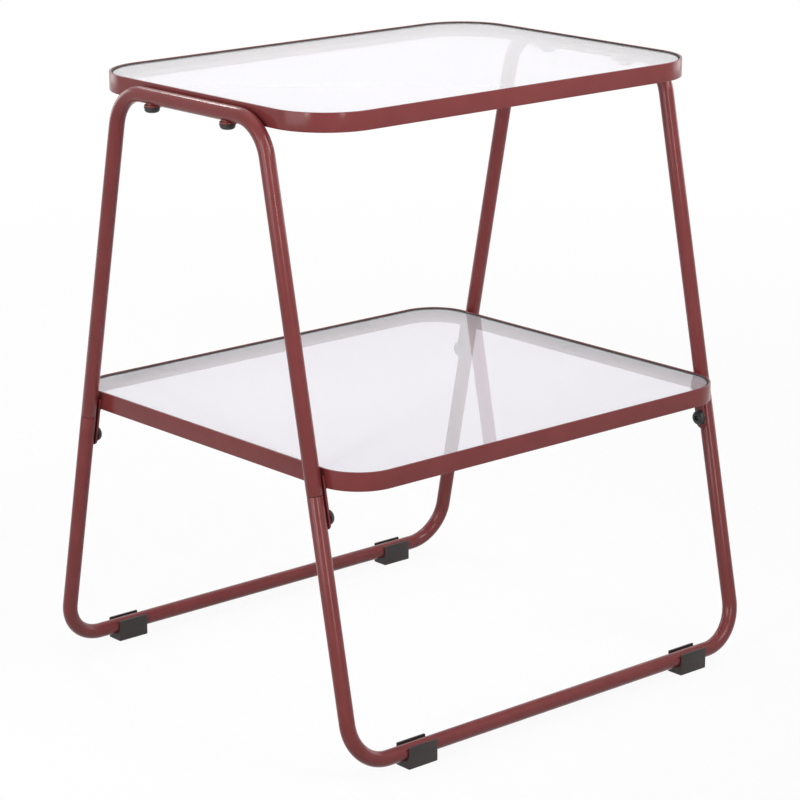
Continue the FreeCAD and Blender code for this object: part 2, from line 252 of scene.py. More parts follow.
POWDER_COAT = Finish(
    name="burgundy_powder_coat",
    slot="burgundy_paint",
    dark=(0.172, 0.031, 0.031),
    light=(0.194, 0.037, 0.037),
    gloss=(0.17, 0.24),
    grain=45.0,
    relief=850.0,
    relief_depth=0.00006,
    sockets=(("Specular IOR Level", 0.25),),
)
BLACK_COAT = Finish(
    name="black_bolt_coat",
    slot="black_fastener",
    dark=(0.014, 0.013, 0.013),
    light=(0.022, 0.021, 0.020),
    gloss=(0.32, 0.44),
    grain=160.0,
    relief=2200.0,
    relief_depth=0.00003,
    sockets=(("Metallic", 0.2),),
)
FOOT_PLASTIC = Finish(
    name="matte_foot_plastic",
    slot="black_plastic",
    dark=(0.013, 0.006, 0.006),
    light=(0.018, 0.010, 0.010),
    gloss=(0.5, 0.62),
    grain=120.0,
    relief=1800.0,
    relief_depth=0.00008,
)
DARK_STEEL = Finish(
    name="phosphated_sleeve_steel",
    slot="dark_steel",
    dark=(0.050, 0.050, 0.052),
    light=(0.085, 0.084, 0.084),
    gloss=(0.42, 0.58),
    grain=260.0,
    relief=1500.0,
    relief_depth=0.00003,
    sockets=(("Metallic", 1.0),),
)
BUMPER_RUBBER = Finish(
    name="clear_bumper",
    slot="clear_rubber",
    dark=(0.80, 0.80, 0.79),
    light=(0.90, 0.90, 0.90),
    gloss=(0.18, 0.28),
    grain=300.0,
    relief=900.0,
    relief_depth=0.00004,
    sockets=(("Transmission Weight", 0.7), ("IOR", 1.45)),
)
PALE_GLASS = Finish(
    name="pale_pane_glass",
    slot="glass",
    dark=(0.752, 0.728, 0.787),
    light=(0.758, 0.734, 0.793),
    gloss=(0.0, 0.002),
    grain=9.0,
    relief=5.0,
    relief_depth=0.000002,
    relief_strength=0.1,
    sockets=(
        ("Transmission Weight", 0.86),
        ("Sheen Weight", 0.47),
        ("Sheen Roughness", 0.4),
        ("IOR", 1.02),
        ("Coat Weight", 1.0),
        ("Coat Roughness", 0.0),
        ("Coat IOR", 1.5),
    ),
)
# Black strip laid in the gap between a pane's edge and its rim: painted shade, which darkens that narrow
# gap where its own shade would fall
SHADE_STRIP = Finish(
    name="painted_gap_shade",
    slot="black_plastic",
    dark=(0.012, 0.011, 0.011),
    light=(0.018, 0.016, 0.016),
    gloss=(0.55, 0.7),
    grain=200.0,
    relief=1600.0,
    relief_depth=0.00003,
)


# Mesh making


def mesh_of(
    name: str, points: Iterable[Vector], faces: Iterable[Sequence[int]], crease: float
) -> bpy.types.Mesh:
    """Make a smooth mesh that keeps its sharp edges.

    Args:
        name: Name of the mesh.
        points: Its corners.
        faces: Corner numbers of each face.
        crease: Angle in radians from which an edge is sharp.

    Returns:
        The mesh.
    """
    mesh = bpy.data.meshes.new(name)
    mesh.from_pydata([tuple(point) for point in points], [], [tuple(face) for face in faces])
    mesh.shade_smooth()
    mesh.set_sharp_from_angle(angle=crease)
    return mesh


def quads(rings: int, count: int, closed: bool) -> list[tuple[int, int, int, int]]:
    """Faces between rings of equal point count.

    Args:
        rings: Number of rings.
        count: Points in each ring.
        closed: Whether the last ring joins the first.

    Returns:
        Corner numbers of the faces.
    """
    faces = []
    for ring in range(rings if closed else rings - 1):
        near, far = ring * count, (ring + 1) % rings * count
        for step in range(count):
            after = (step + 1) % count
            faces.append((near + step, near + after, far + after, far + step))
    return faces


def capped(rings: int, count: int) -> list[tuple[int, ...]]:
    """Faces of a stack of rings that is closed at both ends.

    Args:
        rings: Number of rings.
        count: Points in each ring.

    Returns:
        Corner numbers of the faces.
    """
    faces: list[tuple[int, ...]] = list(quads(rings, count, False))
    faces.append(tuple(range(count - 1, -1, -1)))
    faces.append(tuple(range((rings - 1) * count, rings * count)))
    return faces


def arc_points(centre: Vector, start: Vector, finish: Vector, steps: int) -> list[Vector]:
    """Points on the shorter arc between two points.

    Args:
        centre: Middle of the arc.
        start: First point.
        finish: Last point.
        steps: Number of spans.

    Returns:
        The points, both ends included.
    """
    first, last = start - centre, finish - centre
    turn = first.angle(last)
    points = []
    for step in range(steps + 1):
        share = step / steps
        near, far = math.sin((1 - share) * turn), math.sin(share * turn)
        points.append(centre + (first * near + last * far) / math.sin(turn))
    return points


def bent_path(corners: Sequence[Vector], radius: float, steps: int) -> Loop:
    """Centre line of a bent tube.

    Args:
        corners: Where its straight lengths would meet, and its two ends.
        radius: Radius of each bend.
        steps: Spans in each bend.

    Returns:
        Points and directions along the line.
    """
    path = [(corners[0], (corners[1] - corners[0]).normalized())]
    for before, corner, after in zip(corners, corners[1:], corners[2:]):
        back, ahead = (before - corner).normalized(), (after - corner).normalized()
        half = back.angle(ahead) / 2
        reach = radius / math.tan(half)
        centre = corner + (back + ahead).normalized() * radius / math.sin(half)
        axis = back.cross(ahead).normalized()
        for point in arc_points(centre, corner + back * reach, corner + ahead * reach, steps):
            path.append((point, (point - centre).cross(axis).normalized()))
    path.append((corners[-1], (corners[-1] - corners[-2]).normalized()))
    return path


def tube_mesh(
    name: str, path: Loop, across: Vector, radius: float, bore: float, lip: float
) -> bpy.types.Mesh:
    """Hollow tube with softly broken ends.

    Args:
        name: Name of the mesh.
        path: Points and directions of its centre line, which lies in one plane.
        across: Normal of that plane.
        radius: Outside radius.
        bore: Inside radius.
        lip: How far the ends are rounded.

    Returns:
        The mesh.
    """
    (start, start_way), (finish, finish_way) = path[0], path[-1]
    shoulder = lip * LIP_SHARE
    rings = [
        (start, start_way, radius - lip),
        (start + start_way * shoulder, start_way, radius - shoulder),
        (start + start_way * lip, start_way, radius),
        *((point, along, radius) for point, along in path[1:-1]),
        (finish - finish_way * lip, finish_way, radius),
        (finish - finish_way * shoulder, finish_way, radius - shoulder),
        (finish, finish_way, radius - lip),
        *((point, along, bore) for point, along in reversed(path)),
    ]
    points = []
    for centre, along, size in rings:
        up = along.cross(across).normalized()
        for side in range(TUBE_SIDES):
            angle = math.tau * side / TUBE_SIDES
            points.append(centre + (across * math.cos(angle) + up * math.sin(angle)) * size)
    return mesh_of(name, points, quads(len(rings), TUBE_SIDES, True), BAR_CREASE)


def rounded_loop(half_x: float, half_y: float, corner: float, steps: int) -> Loop:
    """Outline of a rounded rectangle about the Z axis.

    Args:
        half_x: Half of its length.
        half_y: Half of its depth.
        corner: Radius of its corners.
        steps: Spans in each corner.

    Returns:
        Points and outward directions, anticlockwise.
    """
    loop = []
    for turn, (sign_x, sign_y) in enumerate(((1, 1), (-1, 1), (-1, -1), (1, -1))):
        centre = Vector((sign_x * (half_x - corner), sign_y * (half_y - corner), 0))
        for step in range(steps + 1):
            angle = math.pi / 2 * (turn + step / steps)
            outward = Vector((math.cos(angle), math.sin(angle), 0))
            loop.append((centre + outward * corner, outward))
    return loop


def rounded_section(width: float, height: float, radius: float) -> Profile:
    """Section of a flat bar with broken edges.

    Args:
        width: Its width, from the outer face at zero inwards.
        height: Its height from zero.
        radius: Radius of its edges.

    Returns:
        Points as distance outwards and height, in order.
    """
    middle = Vector((-width / 2, height / 2, 0))
    outline = rounded_loop(width / 2, height / 2, radius, SECTION_STEPS)
    return [(point.x + middle.x, point.y + middle.y) for point, _ in outline]


def rail_mesh(name: str, loop: Loop, section: Profile, level: float) -> bpy.types.Mesh:
    """Bar that follows a closed outline.

    Args:
        name: Name of the mesh.
        loop: Points and outward directions of the outline.
        section: The bar's section as distance outwards and height.
        level: Height of the section's zero.

    Returns:
        The mesh.
    """
    points = [
        Vector((point.x + outward.x * out, point.y + outward.y * out, level + up))
        for point, outward in loop
        for out, up in section
    ]
    return mesh_of(name, points, quads(len(loop), len(section), True), BAR_CREASE)


def lathe_mesh(name: str, profile: Profile, matrix: Matrix, sides: int) -> bpy.types.Mesh:
    """Turned piece, closed at both ends of its profile.

    Args:
        name: Name of the mesh.
        profile: Points as radius and height.
        matrix: Place of the piece.
        sides: Points in each ring.

    Returns:
        The mesh.
    """
    points = []
    for radius, height in profile:
        for side in range(sides):
            angle = math.tau * side / sides
            points.append(matrix @ Vector((radius * math.cos(angle), radius * math.sin(angle), height)))
    return mesh_of(name, points, capped(len(profile), sides), TURNED_CREASE)


def bead_mesh(name: str, start: Vector, finish: Vector, radius: float) -> bpy.types.Mesh:
    """Weld bead with a ripple along it.

    Args:
        name: Name of the mesh.
        start: One end.
        finish: Other end.
        radius: Mean radius of the bead.

    Returns:
        The mesh.
    """
    span = finish - start
    ripples = span.length / (radius * BEAD_PITCH)
    profile = []
    for step in range(BEAD_STEPS + 1):
        share = step / BEAD_STEPS
        taper = math.sqrt(max(0.0, 1 - (2 * share - 1) ** BEAD_BLUNTNESS))
        ripple = 1 + BEAD_RIPPLE * math.sin(math.tau * ripples * share)
        profile.append((radius * max(BEAD_TIP, taper) * ripple, span.length * share))
    matrix = Matrix.Translation(start) @ span.to_track_quat("Z", "Y").to_matrix().to_4x4()
    return lathe_mesh(name, profile, matrix, BEAD_SIDES)


def plate_mesh(
    name: str, outlines: Sequence[Sequence[Vector]], depth: float, edge: float, matrix: Matrix
) -> bpy.types.Mesh:
    """Flat piece cut to an outline, with its edges broken.

    Args:
        name: Name of the mesh.
        outlines: Outer line and any holes, in the XY plane.
        depth: Thickness, spread evenly about the plane.
        edge: Radius of the broken edges.
        matrix: Place of the piece.

    Returns:
        The mesh.
    """
    curve = bpy.data.curves.new(name, "CURVE")
    curve.dimensions = "2D"
    curve.fill_mode = "BOTH"
    curve.extrude = depth / 2 - edge
    curve.bevel_depth = edge
    curve.bevel_resolution = EDGE_STEPS
    curve.offset = -edge
    for outline in outlines:
        spline = curve.splines.new("POLY")
        spline.points.add(len(outline) - 1)
        spline.use_cyclic_u = True
        for target, point in zip(spline.points, outline):
            target.co = (point.x, point.y, 0, 1)
    holder = bpy.data.objects.new(name, curve)
    bpy.context.scene.collection.objects.link(holder)
    bpy.context.view_layer.update()
    depsgraph = bpy.context.evaluated_depsgraph_get()
    mesh = bpy.data.meshes.new_from_object(holder.evaluated_get(depsgraph))
    bpy.data.objects.remove(holder)
    bpy.data.curves.remove(curve)
    mesh.name = name
    mesh.transform(matrix)
    mesh.shade_smooth()
    mesh.set_sharp_from_angle(angle=BAR_CREASE)
    return mesh


def circle_points(radius: float, steps: int) -> list[Vector]:
    """Points of a circle about the origin.

    Args:
        radius: Radius of the circle.
        steps: Number of points.

    Returns:
        The points, anticlockwise.
    """
    angles = [math.tau * step / steps for step in range(steps)]
    return [Vector((radius * math.cos(angle), radius * math.sin(angle), 0)) for angle in angles]


def joined(name: str, meshes: Sequence[bpy.types.Mesh]) -> bpy.types.Mesh:
    """Put several meshes into one.

    Args:
        name: Name of the result.
        meshes: Meshes to join, which are then removed.

    Returns:
        The joined mesh.
    """
    points: list[Vector] = []
    faces: list[tuple[int, ...]] = []
    for mesh in meshes:
        start = len(points)
        points += [corner.co.copy() for corner in mesh.vertices]
        faces += [tuple(start + corner for corner in face.vertices) for face in mesh.polygons]
        bpy.data.meshes.remove(mesh)
    return mesh_of(name, points, faces, TURNED_CREASE)


def node_islands(node: str) -> list[tuple[Vector, Vector]]:
    """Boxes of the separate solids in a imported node.

    Args:
        node: Name of the node.

    Returns:
        Lowest and highest corner of each solid.
    """
    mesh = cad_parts[node].data
    keys = [tuple(round(value, MERGE_DIGITS) for value in corner.co) for corner in mesh.vertices]
    group = {key: key for key in keys}

    def root(key: tuple[float, ...]) -> tuple[float, ...]:
        """Find the corner that stands for a whole solid.

        Args:
            key: Any corner of the solid.

        Returns:
            The corner that stands for it.
        """
        while group[key] != key:
            key = group[key]
        return key

    for face in mesh.polygons:
        first, *others = [root(keys[corner]) for corner in face.vertices]
        for other in others:
            group[root(other)] = root(first)
    solids: dict[tuple[float, ...], list[tuple[float, ...]]] = {}
    for key in group:
        solids.setdefault(root(key), []).append(key)
    return [
        (Vector([min(axis) for axis in zip(*corners)]), Vector([max(axis) for axis in zip(*corners)]))
        for corners in solids.values()
    ]


def show(name: str, mesh: bpy.types.Mesh, finish: Finish, body: Body, *nodes: str) -> None:
    """Put a piece on the table.

    Args:
        name: Name of the piece.
        mesh: Its mesh, in the part's own frame.
        finish: Its surface.
        body: Body that it rides on.
        *nodes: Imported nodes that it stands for.
    """
    piece = bpy.data.objects.new(name, mesh)
    bpy.context.scene.collection.objects.link(piece)
    mesh.materials.clear()
    mesh.materials.append(finish.material())
    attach(piece, body.value)
    if nodes:
        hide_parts(*nodes)
    log.info("%s: %d faces on %s", name, len(mesh.polygons), body.value)


# Sub-assemblies


@dataclass(frozen=True)
class LegLayout:
    """Where the tube frame runs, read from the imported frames."""

    tube: float
    leg_x: float
    run_z: float
    base_y: float
    base_z: float
    lean: float

    LEAN_ROUNDS: ClassVar[int] = 20

    @classmethod
    def measured(cls) -> "LegLayout":
        """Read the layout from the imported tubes.

        Returns:
            The layout.
        """
        low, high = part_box("upper_frame_right")
        tube = (high.x - low.x) / 2
        leg_x = (high.x + low.x) / 2
        run_z = high.z - tube
        low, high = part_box("base_frame_front")
        base_y, base_z = -(low.y + tube), low.z + tube
        inwards, upwards = high.y + base_y, high.z - base_z
        lean = math.atan2(inwards, upwards)
        for _ in range(cls.LEAN_ROUNDS):
            lean = math.atan2(inwards - tube * math.cos(2 * lean) / math.cos(lean), upwards)
        return cls(tube, leg_x, run_z, base_y, base_z, lean)

    def leg_y(self, height: float) -> float:
        """Distance of a leg's axis from the middle at a height."""
        return self.base_y - (height - self.base_z) * math.tan(self.lean)

    def along(self, height: float) -> float:
        """Distance up a leg from the base run to a height."""
        return (height - self.base_z) / math.cos(self.lean)

    def leg_matrix(self, x: float, end: End) -> Matrix:
        """Frame at the foot of a leg.

        Args:
            x: Place along X.
            end: Front or back.

        Returns:
            A matrix whose Z runs up the leg.
        """
        place = Matrix.Translation((x, end.value * self.base_y, self.base_z))
        return place @ Matrix.Rotation(end.value * self.lean, 4, "X")


@dataclass
class TubeFrame:
    """The two upper and two base frames of bent tube."""

    layout: LegLayout
    wall: float = 0.0015
    bend: float = 0.036
    lip: float = 0.0003
    bend_steps: int = 22

    def upper(self, side: Side) -> None:
        """Build the inverted U of one side.

        Args:
            side: Left or right.
        """
        node = f"upper_frame_{side.name.lower()}"
        foot_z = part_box(node)[0].z + self.layout.tube * math.sin(self.layout.lean)
        x = side.value * self.layout.leg_x
        heights = (foot_z, self.layout.run_z, self.layout.run_z, foot_z)
        corners = [
            Vector((x, sign * self.layout.leg_y(height), height))
            for sign, height in zip((-1, -1, 1, 1), heights)
        ]
        self.tube(node, corners, Vector((1, 0, 0)))

    def base(self, end: End) -> None:
        """Build the U of one base run.

        Args:
            end: Front or back.
        """
        node = f"base_frame_{end.name.lower()}"
        top_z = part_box(node)[1].z - self.layout.tube * math.sin(self.layout.lean)
        heights = (top_z, self.layout.base_z, self.layout.base_z, top_z)
        corners = [
            Vector((sign * self.layout.leg_x, end.value * self.layout.leg_y(height), height))
            for sign, height in zip((-1, -1, 1, 1), heights)
        ]
        across = Vector((1, 0, 0)).cross(corners[0] - corners[1]).normalized()
        self.tube(node, corners, across)

    def tube(self, node: str, corners: Sequence[Vector], across: Vector) -> None:
        """Build and dress one bent tube.

        Args:
            node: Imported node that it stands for.
            corners: Its ends and the meeting points of its straight lengths.
            across: Normal of the plane that it lies in.
        """
        path = bent_path(corners, self.bend, self.bend_steps)
        radius = self.layout.tube
        mesh = tube_mesh(node, path, across, radius, radius - self.wall, self.lip)
        show(f"painted_{node}", mesh, POWDER_COAT, Body.TABLE, node)

    def build(self) -> None:
        """Build all four frames."""
        for side in Side:
            self.upper(side)
        for end in End:
            self.base(end)


@dataclass
class Tray:
    """A flat-bar rim, its glass pane and what the pane lies on."""

    name: str
    corner: float
    pane_body: Body
    wall: float = 0.002
    edge: float = 0.0004
    arris: float = 0.0006
    corner_steps: int = 28
    tab_corner: float = 0.0016
    tab_steps: int = 6
    bumper_crown: float = 0.0003
    bumper_sides: int = 32
    weld: float = 0.0011
    # Drop below the rim's top, play and edge radius of the black strip of painted shade in the gap round
    # the pane
    shade_strip_drop: float = 0.0004
    shade_strip_play: float = 0.0001
    shade_strip_round: float = 0.0003

    def build(self) -> None:
        """Build the rim, pane, black strip of painted shade, tabs and bumpers."""
        self.rim()
        self.pane()
        self.lay_shade_strip()
        self.tabs()
        self.bumpers()

    def rim(self) -> None:
        """Build the bent flat bar."""
        node = f"{self.name}_rim"
        low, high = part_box(node)
        loop = rounded_loop(high.x, high.y, self.corner, self.corner_steps)
        section = rounded_section(self.wall, high.z - low.z, self.edge)
        show(f"painted_{node}", rail_mesh(node, loop, section, low.z), POWDER_COAT, Body.TABLE, node)

    def pane(self) -> None:
        """Build the glass with its ground edges."""
        node = f"{self.name}_glass"
        low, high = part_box(node)
        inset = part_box(f"{self.name}_rim")[1].x - high.x
        loop = rounded_loop(high.x, high.y, self.corner - inset, self.corner_steps)
        levels = (
            (low.z, -self.arris),
            (low.z + self.arris, 0.0),
            (high.z - self.arris, 0.0),
            (high.z, -self.arris),
        )
        points = [
            Vector((point.x + outward.x * out, point.y + outward.y * out, level))
            for level, out in levels
            for point, outward in loop
        ]
        mesh = mesh_of(node, points, capped(len(levels), len(loop)), PANE_CREASE)
        show(f"ground_{node}", mesh, PALE_GLASS, self.pane_body, node)

    def lay_shade_strip(self) -> None:
        """Build the black strip of painted shade in the gap between the pane's edge and the rim."""
        rim_top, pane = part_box(f"{self.name}_rim")[1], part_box(f"{self.name}_glass")
        inset = self.wall + self.shade_strip_play
        loop = rounded_loop(rim_top.x - inset, rim_top.y - inset, self.corner - inset, self.corner_steps)
        width = rim_top.x - inset - pane[1].x - self.shade_strip_play
        section = rounded_section(width, rim_top.z - self.shade_strip_drop - pane[0].z, self.shade_strip_round)
        name = f"{self.name}_glass_seal"
        show(name, rail_mesh(name, loop, section, pane[0].z), SHADE_STRIP, Body.TABLE)

    def tabs(self) -> None:
        """Build the tabs welded inside the rim, each with its weld."""
        node = f"{self.name}_glass_tabs"
        parts = []
        for low, high in node_islands(node):
            middle, size = (low + high) / 2, high - low
            loop = rounded_loop(size.x / 2, size.y / 2, self.tab_corner, self.tab_steps)
            outline = [point for point, _ in loop]
            parts.append(plate_mesh(node, [outline], size.z, self.edge, Matrix.Translation(middle)))
            parts.append(self.tab_weld(low, high))
        show(f"painted_{node}", joined(node, parts), POWDER_COAT, Body.TABLE, node)

    def tab_weld(self, low: Vector, high: Vector) -> bpy.types.Mesh:
        """Weld along the foot of a tab, under it where it meets the rim.

        Args:
            low: Lowest corner of the tab.
            high: Highest corner of the tab.

        Returns:
            The weld's mesh.
        """
        middle = (low + high) / 2
        if high.x - low.x > high.y - low.y:
            y = high.y if middle.y > 0 else low.y
            ends = Vector((low.x, y, low.z)), Vector((high.x, y, low.z))
        else:
            x = high.x if middle.x > 0 else low.x
            ends = Vector((x, low.y, low.z)), Vector((x, high.y, low.z))
        return bead_mesh(f"{self.name}_tab_weld", *ends, self.weld)

    def bumpers(self) -> None:
        """Build the clear bumpers under the pane."""
        node = f"{self.name}_glass_bumpers"
        parts = []
        for low, high in node_islands(node):
            radius, height = (high.x - low.x) / 2, high.z - low.z
            crown = self.bumper_crown
            shoulder, brow, flat = crown * 2, crown * 0.7, crown * 3
            profile = [
                (radius - crown, 0.0),
                (radius, crown),
                (radius, height - shoulder),
                (radius - crown, height - brow),
                (radius - flat, height),
            ]
            middle = (low + high) / 2
            place = Matrix.Translation((middle.x, middle.y, low.z))
            parts.append(lathe_mesh(node, profile, place, self.bumper_sides))
        show(f"soft_{node}", joined(node, parts), BUMPER_RUBBER, Body.TABLE, node)


@dataclass
class Lugs:
    """Flat lugs that join the trays to the tube frame."""

    layout: LegLayout
    edge: float = 0.00035
    hole: float = 0.00325
    weld: float = 0.0011
    shelf_half: float = 0.005
    round_steps: int = 20
    hole_steps: int = 40

    def tongue(self, half: float, square: float, centre: float) -> list[Vector]:
        """Outline with one square end and one round end, along X.

        Args:
            half: Half of the width.
            square: Place of the square end.
            centre: Middle of the round end.

        Returns:
            The outline's points, anticlockwise.
        """
        outline = [Vector((square, half, 0)), Vector((square, -half, 0))]
        for step in range(self.round_steps + 1):
            angle = math.pi * (step / self.round_steps - 0.5)
            outline.append(Vector((centre + half * math.cos(angle), half * math.sin(angle), 0)))
        return outline

    def top(self, end: End, side: Side) -> None:
        """Build one lug under the top rim, and its weld.

        Args:
            end: Front or back.
            side: Left or right.
        """
        corner = corner_name(end, side)
        node = f"top_lug_{corner}"
        low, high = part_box(node)
        half = (high.y - low.y) / 2
        inner = min(abs(low.x), abs(high.x))
        outline = self.tongue(half, inner, self.layout.leg_x)
        shift = Vector((self.layout.leg_x, 0, 0))
        hole = [point + shift for point in circle_points(self.hole, self.hole_steps)]
        turn = Matrix.Rotation(0.0 if side is Side.RIGHT else math.pi, 4, "Z")
        place = Matrix.Translation((0, (low.y + high.y) / 2, (low.z + high.z) / 2))
        mesh = plate_mesh(node, [outline, hole], high.z - low.z, self.edge, place @ turn)
        show(f"painted_{node}", mesh, POWDER_COAT, Body.TABLE, node)
        x = side.value * (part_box("top_rim")[1].x - Tray.wall)
        self.bead(f"top_weld_{corner}", Vector((x, low.y, high.z)), Vector((x, high.y, high.z)))

    def shelf(self, end: End, side: Side) -> None:
        """Build one lug down the inner side of a leg, and its weld.

        Args:
            end: Front or back.
            side: Left or right.
        """
        corner = corner_name(end, side)
        node = f"shelf_lug_{corner}"
        low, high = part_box(node)
        half = self.shelf_half
        bolt_low, bolt_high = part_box(f"shelf_bolt_{corner}")
        bolt = self.layout.along((bolt_low.z + bolt_high.z) / 2)
        top = self.layout.along(high.z - half * math.sin(self.layout.lean))
        tail = self.layout.along(low.z + half)
        outline = self.tongue(half, -top, -tail)
        shift = Vector((-bolt, 0, 0))
        hole = [point + shift for point in circle_points(self.hole, self.hole_steps)]
        upright = Matrix.Rotation(math.pi / 2, 4, "Y")
        place = self.layout.leg_matrix((low.x + high.x) / 2, end)
        mesh = plate_mesh(node, [outline, hole], high.x - low.x, self.edge, place @ upright)
        show(f"painted_{node}", mesh, POWDER_COAT, Body.TABLE, node)
        rim_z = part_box("shelf_rim")[0].z
        x = side.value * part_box("shelf_rim")[1].x
        middle = end.value * self.layout.leg_y(rim_z)
        ends = [Vector((x, middle + sign * half, rim_z)) for sign in (-1, 1)]
        self.bead(f"shelf_weld_{corner}", *ends)

    def bead(self, name: str, start: Vector, finish: Vector) -> None:
        """Lay the weld of a lug."""
        show(name, bead_mesh(name, start, finish, self.weld), POWDER_COAT, Body.TABLE)

    def build(self) -> None:
        """Build the lugs of all corners."""
        for end, side in CORNERS:
            self.top(end, side)
            self.shelf(end, side)


@dataclass
class Fasteners:
    """Domed socket bolts with their washers, and the pieces inside the tubes."""

    shank: float = 0.003
    shank_length: float = 0.010
    head_edge: float = 0.0009
    head_flat: float = 0.0031
    socket_flats: float = 0.004
    socket_depth: float = 0.0022
    break_edge: float = 0.00025
    drill_width_share: float = 0.2
    drill_depth_share: float = 0.4
    washer_hole: float = 0.00325
    dome_steps: int = 10
    sides: int = 48

    def bolt_mesh(self, name: str, head: float, height: float, matrix: Matrix) -> bpy.types.Mesh:
        """Bolt with its seat at the origin and its head upwards.

        Args:
            name: Name of the mesh.
            head: Radius of the head.
            height: Height of the head.
            matrix: Place of the bolt.

        Returns:
            The mesh.
        """
        profile = [
            (self.shank - self.break_edge * 2, -self.shank_length),
            (self.shank, -self.shank_length + self.break_edge * 2),
            (self.shank, 0.0),
            (head - self.break_edge, 0.0),
            (head, self.break_edge),
            (head, self.head_edge),
        ]
        for step in range(1, self.dome_steps + 1):
            angle = math.pi / 2 * step / self.dome_steps
            radius = self.head_flat + (head - self.head_flat) * math.cos(angle)
            profile.append((radius, self.head_edge + (height - self.head_edge) * math.sin(angle)))
        points = [
            Vector((radius * math.cos(angle), radius * math.sin(angle), level))
            for radius, level in profile
            for angle in self.angles()
        ]
        mouth = self.socket_flats / 2
        floor = height - self.socket_depth
        rings = (
            (mouth + self.break_edge, height),
            (mouth, height - self.break_edge),
            (mouth, floor),
            (mouth * self.drill_width_share, floor - mouth * self.drill_depth_share),
        )
        for flats, level in rings:
            points += [self.hexagon(angle, flats, level) for angle in self.angles()]
        faces = capped(len(profile) + len(rings), self.sides)
        return mesh_of(name, [matrix @ point for point in points], faces, BOLT_CREASE)

    def angles(self) -> list[float]:
        """Angles of the points in each ring."""
        return [math.tau * side / self.sides for side in range(self.sides)]

    @staticmethod
    def hexagon(angle: float, flats: float, level: float) -> Vector:
        """Point of a hexagon seen from its middle.

        Args:
            angle: Direction of the point.
            flats: Distance of the flats from the middle.
            level: Height of the hexagon.

        Returns:
            The point.
        """
        sector = math.pi / 3
        reach = flats / math.cos((angle % sector) - sector / 2)
        return Vector((reach * math.cos(angle), reach * math.sin(angle), level))

    def washer_mesh(self, name: str, radius: float, height: float, matrix: Matrix) -> bpy.types.Mesh:
        """Flat washer with broken edges, standing on the origin.

        Args:
            name: Name of the mesh.
            radius: Outside radius.
            height: Thickness.
            matrix: Place of the washer.

        Returns:
            The mesh.
        """
        section = rounded_section(radius - self.washer_hole, height, self.break_edge)
        loop = [(point, point.normalized()) for point in circle_points(radius, self.sides)]
        mesh = rail_mesh(name, loop, section, 0.0)
        mesh.transform(matrix)
        return mesh

    def fasten(self, row: str, corner: str, head_way: Vector) -> None:
        """Build one bolt and its washer.

        Args:
            row: Which tray they hold, top or shelf.
            corner: Corner of the table.
            head_way: Direction from the lug to the head.
        """
        turn = head_way.to_track_quat("Z", "Y").to_matrix().to_4x4()
        bolt, washer = f"{row}_bolt_{corner}", f"{row}_washer_{corner}"
        low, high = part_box(washer)
        thick = min(high - low)
        radius = max(high - low) / 2
        seat = (low + high) / 2 + head_way * thick / 2
        bolt_low, bolt_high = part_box(bolt)
        bolt_size = bolt_high - bolt_low
        head = min(bolt_size) / 2
        length = max(abs(way * size) for way, size in zip(head_way, bolt_size))
        tip = (bolt_low + bolt_high) / 2 + head_way * length / 2
        height = (tip - seat).dot(head_way)
        mesh = self.bolt_mesh(bolt, head, height, Matrix.Translation(seat) @ turn)
        show(f"domed_{bolt}", mesh, BLACK_COAT, Body.TABLE, bolt)
        under = (low + high) / 2 - head_way * thick / 2
        mesh = self.washer_mesh(washer, radius, thick, Matrix.Translation(under) @ turn)
        show(f"broken_{washer}", mesh, BLACK_COAT, Body.TABLE, washer)

    @staticmethod
    def dress(node: str, finish: Finish) -> None:
        """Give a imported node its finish.

        Args:
            node: Name of the node.
            finish: Its surface.
        """
        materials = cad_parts[node].data.materials
        materials.clear()
        materials.append(finish.material())
        log.info("%s: %s", node, finish.name)

    def build(self) -> None:
        """Build every fastening and dress the pieces inside the tubes."""
        for end, side in CORNERS:
            corner = corner_name(end, side)
            self.fasten("top", corner, Vector((0, 0, -1)))
            self.fasten("shelf", corner, Vector((-side.value, 0, 0)))
            self.dress(f"joint_sleeve_{corner}", DARK_STEEL)
            self.dress(f"rivet_nut_{corner}", POWDER_COAT)


@dataclass
class Feet:
    """Plastic clips round the base runs."""

    layout: LegLayout
    play: float = 0.00005
    edge: float = 0.0006
    sole_round: float = 0.001
    sole_steps: int = 6
    round_steps: int = 24

    def outline(self, half: float, top: float) -> list[Vector]:
        """End view of a clip, across in X and up in Y.

        Args:
            half: Half of its width.
            top: Height of its walls.

        Returns:
            The outline's points, anticlockwise.
        """
        bore = self.layout.tube + self.play
        axis = self.layout.base_z
        corner = self.sole_round
        points = []
        for sign, start in ((-1, math.pi), (1, 1.5 * math.pi)):
            for step in range(self.sole_steps + 1):
                angle = start + math.pi / 2 * step / self.sole_steps
                centre = Vector((sign * (half - corner), corner, 0))
                points.append(centre + Vector((math.cos(angle), math.sin(angle), 0)) * corner)
        points += [Vector((half, top, 0)), Vector((bore, top, 0))]
        for step in range(self.round_steps + 1):
            angle = -math.pi * step / self.round_steps
            points.append(Vector((bore * math.cos(angle), axis + bore * math.sin(angle), 0)))
        points += [Vector((-bore, top, 0)), Vector((-half, top, 0))]
        return points

    def foot(self, end: End, side: Side) -> None:
        """Build one clip.

        Args:
            end: Front or back.
            side: Left or right.
        """
        node = f"foot_{corner_name(end, side)}"
        low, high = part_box(node)
        outline = self.outline((high.y - low.y) / 2, high.z)
        middle = (low + high) / 2
        turn = Matrix.Rotation(math.pi / 2, 4, "Z") @ Matrix.Rotation(math.pi / 2, 4, "X")
        place = Matrix.Translation((middle.x, middle.y, low.z)) @ turn
        mesh = plate_mesh(node, [outline], high.x - low.x, self.edge, place)
        show(f"moulded_{node}", mesh, FOOT_PLASTIC, Body.TABLE, node)

    def build(self) -> None:
        """Build all four clips."""
        for end, side in CORNERS:
            self.foot(end, side)


# Studio


